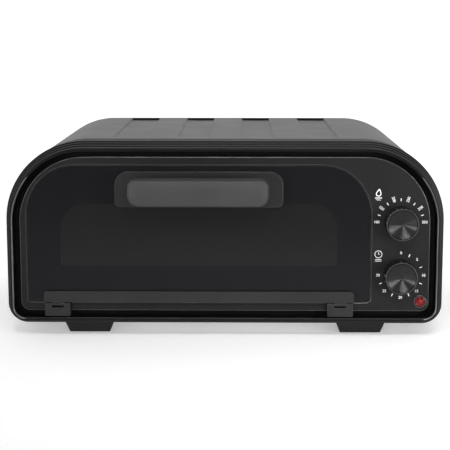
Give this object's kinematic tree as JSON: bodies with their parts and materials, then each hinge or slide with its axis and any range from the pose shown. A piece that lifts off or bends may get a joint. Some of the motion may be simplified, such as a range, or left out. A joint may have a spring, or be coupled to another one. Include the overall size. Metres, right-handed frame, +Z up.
{
  "type": "toaster oven",
  "caption": "Low arched counter-top toaster oven with a drop-down glass door, bar handle, rotary controls and an indicator lamp.",
  "frame": {"origin": "centre of the oven's box at the surface it stands on, under the feet", "axes": "+X to the right seen from the front, +Y to the rear (the door faces -Y), +Z up"},
  "size_m": [0.46, 0.378, 0.207],
  "materials": {
    "frame_black": "satin black moulding",
    "panel_black": "satin black",
    "casing_paint": "black powder coat, fine texture",
    "foot_plastic": "matt black",
    "plated_steel": "zinc plated sheet",
    "screw_steel": "zinc plated",
    "gland_rubber": "matt",
    "ceramic": "unglazed white",
    "wire_red": "silicone sleeve",
    "door_glass": "tempered, black printed border",
    "rail_grey": "satin dark grey",
    "handle_dark": "satin black",
    "grip_grey": "satin grey",
    "knob_black": "semi-gloss",
    "knob_metal": "radially spun",
    "case_steel": "drawn sheet",
    "lamp_metal": "bright",
    "lamp_red": "clear red jewel",
    "lamp_white": "moulded",
    "oven_steel": "aluminised sheet",
    "rack_chrome": "plated wire",
    "tray_enamel": "speckled dark enamel",
    "crumb_steel": "aluminised sheet",
    "rod_steel": "heat-tinted sheath"
  },
  "bodies": {
    "oven": {"front_frame": "frame_black", "control_panel": "panel_black", "front_plate": "plated_steel", "outer_casing": "casing_paint", "base_plate": "plated_steel", "rear_panel": "casing_paint", "foot_front_left": "foot_plastic", "foot_front_right": "foot_plastic", "foot_rear_left": "foot_plastic", "foot_rear_right": "foot_plastic", "foot_screws": "screw_steel", "base_screws": "screw_steel", "rear_screws": "screw_steel", "panel_screws": "screw_steel", "rear_spacer_left": "foot_plastic", "rear_spacer_right": "foot_plastic", "cord_gland": "gland_rubber", "terminal_block": "ceramic", "wiring": "wire_red", "hinge_bracket_left": "rail_grey", "hinge_bracket_right": "rail_grey", "hinge_pin_left": "screw_steel", "hinge_pin_right": "screw_steel", "hinge_screws": "screw_steel", "thermostat": "ceramic", "timer_case": "case_steel", "timer_bell": "screw_steel", "lamp_bezel": "lamp_metal", "lamp_lens": "lamp_red", "lamp_body": "lamp_white", "oven_compartment": "oven_steel", "heat_shield": "plated_steel", "rack_guide_left": "oven_steel", "rack_guide_right": "oven_steel", "upper_rod_front": "rod_steel", "upper_rod_rear": "rod_steel", "lower_rod_front": "rod_steel", "lower_rod_rear": "rod_steel", "rod_insulators": "ceramic"},
    "door": {"door_glass": "door_glass", "door_rail": "rail_grey", "door_bumpers": "gland_rubber", "handle_plate": "handle_dark", "handle_grip": "grip_grey", "handle_screws": "screw_steel"},
    "temperature_control": {"temperature_knob": "knob_black", "temperature_knob_cap": "knob_metal", "temperature_shaft": "screw_steel"},
    "timer_control": {"timer_knob": "knob_black", "timer_knob_cap": "knob_metal", "timer_shaft": "screw_steel"},
    "rack": {"wire_rack": "rack_chrome", "baking_tray": "tray_enamel"},
    "crumb_drawer": {"crumb_tray": "crumb_steel"}
  },
  "joints": [
    {"name": "door_hinge", "type": "hinge", "parent": "oven", "child": "door", "pos_m": [-0.0269, -0.1564, 0.0362], "axis": [1, 0, 0], "range_deg": [0, 90]},
    {"name": "temperature_turn", "type": "hinge", "parent": "oven", "child": "temperature_control", "pos_m": [0.1835, -0.15, 0.1235], "axis": [0, 1, 0], "range_deg": [0, 180]},
    {"name": "timer_turn", "type": "hinge", "parent": "oven", "child": "timer_control", "pos_m": [0.1835, -0.15, 0.0675], "axis": [0, 1, 0], "range_deg": [0, 270]},
    {"name": "rack_slide", "type": "slide", "parent": "oven", "child": "rack", "axis": [0, -1, 0], "range_m": [0, 0.055]},
    {"name": "crumb_tray_slide", "type": "slide", "parent": "oven", "child": "crumb_drawer", "axis": [0, 1, 0], "range_m": [0, 0.33]}
  ],
  "couplings": [
    {"joint": "rack_slide", "follows": "door_hinge", "m_per_rad": 0.035}
  ]
}
